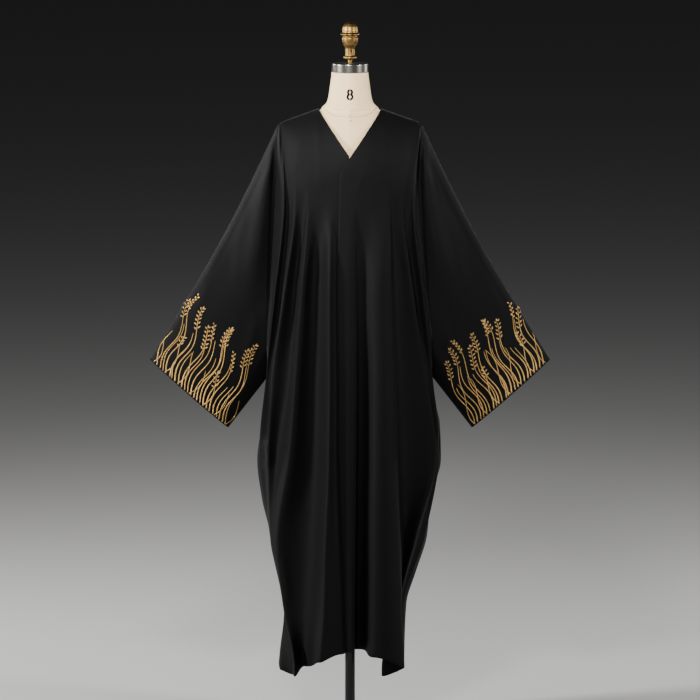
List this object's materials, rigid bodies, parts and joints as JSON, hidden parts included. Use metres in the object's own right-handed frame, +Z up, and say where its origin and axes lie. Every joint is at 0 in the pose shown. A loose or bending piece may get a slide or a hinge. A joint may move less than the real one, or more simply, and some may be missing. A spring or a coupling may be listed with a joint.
{
  "type": "embroidered abaya on a dress form",
  "caption": "Floor-length loose black abaya with a V neck, lapped front and wide embroidered sleeves, worn by a limbless dress form on a pole and round foot.",
  "frame": {"origin": "where the axis of the stand's pole meets the floor, at the underside of the round foot", "axes": "+Z up along the pole, -Y towards the front of the garment, +X towards the wearer's left"},
  "size_m": [1.04, 0.42, 1.8433],
  "materials": {
    "crepe": "matt black crepe with a soft sheen",
    "linen": "cream linen, stretched smooth",
    "steel": "satin",
    "brass": "aged brass",
    "dark_steel": "black, satin",
    "dark_iron": "black, satin",
    "gold_thread": "gold metallic embroidery thread, satin stitch"
  },
  "bodies": {
    "root": {"front_right": "crepe", "front_left": "crepe", "back": "crepe", "sleeve_right": "crepe", "sleeve_left": "crepe", "form_torso": "linen", "neck_cap": "steel", "finial_stem": "brass", "finial": "brass", "stand_pole": "dark_steel", "stand_base": "dark_iron"}
  },
  "joints": []
}
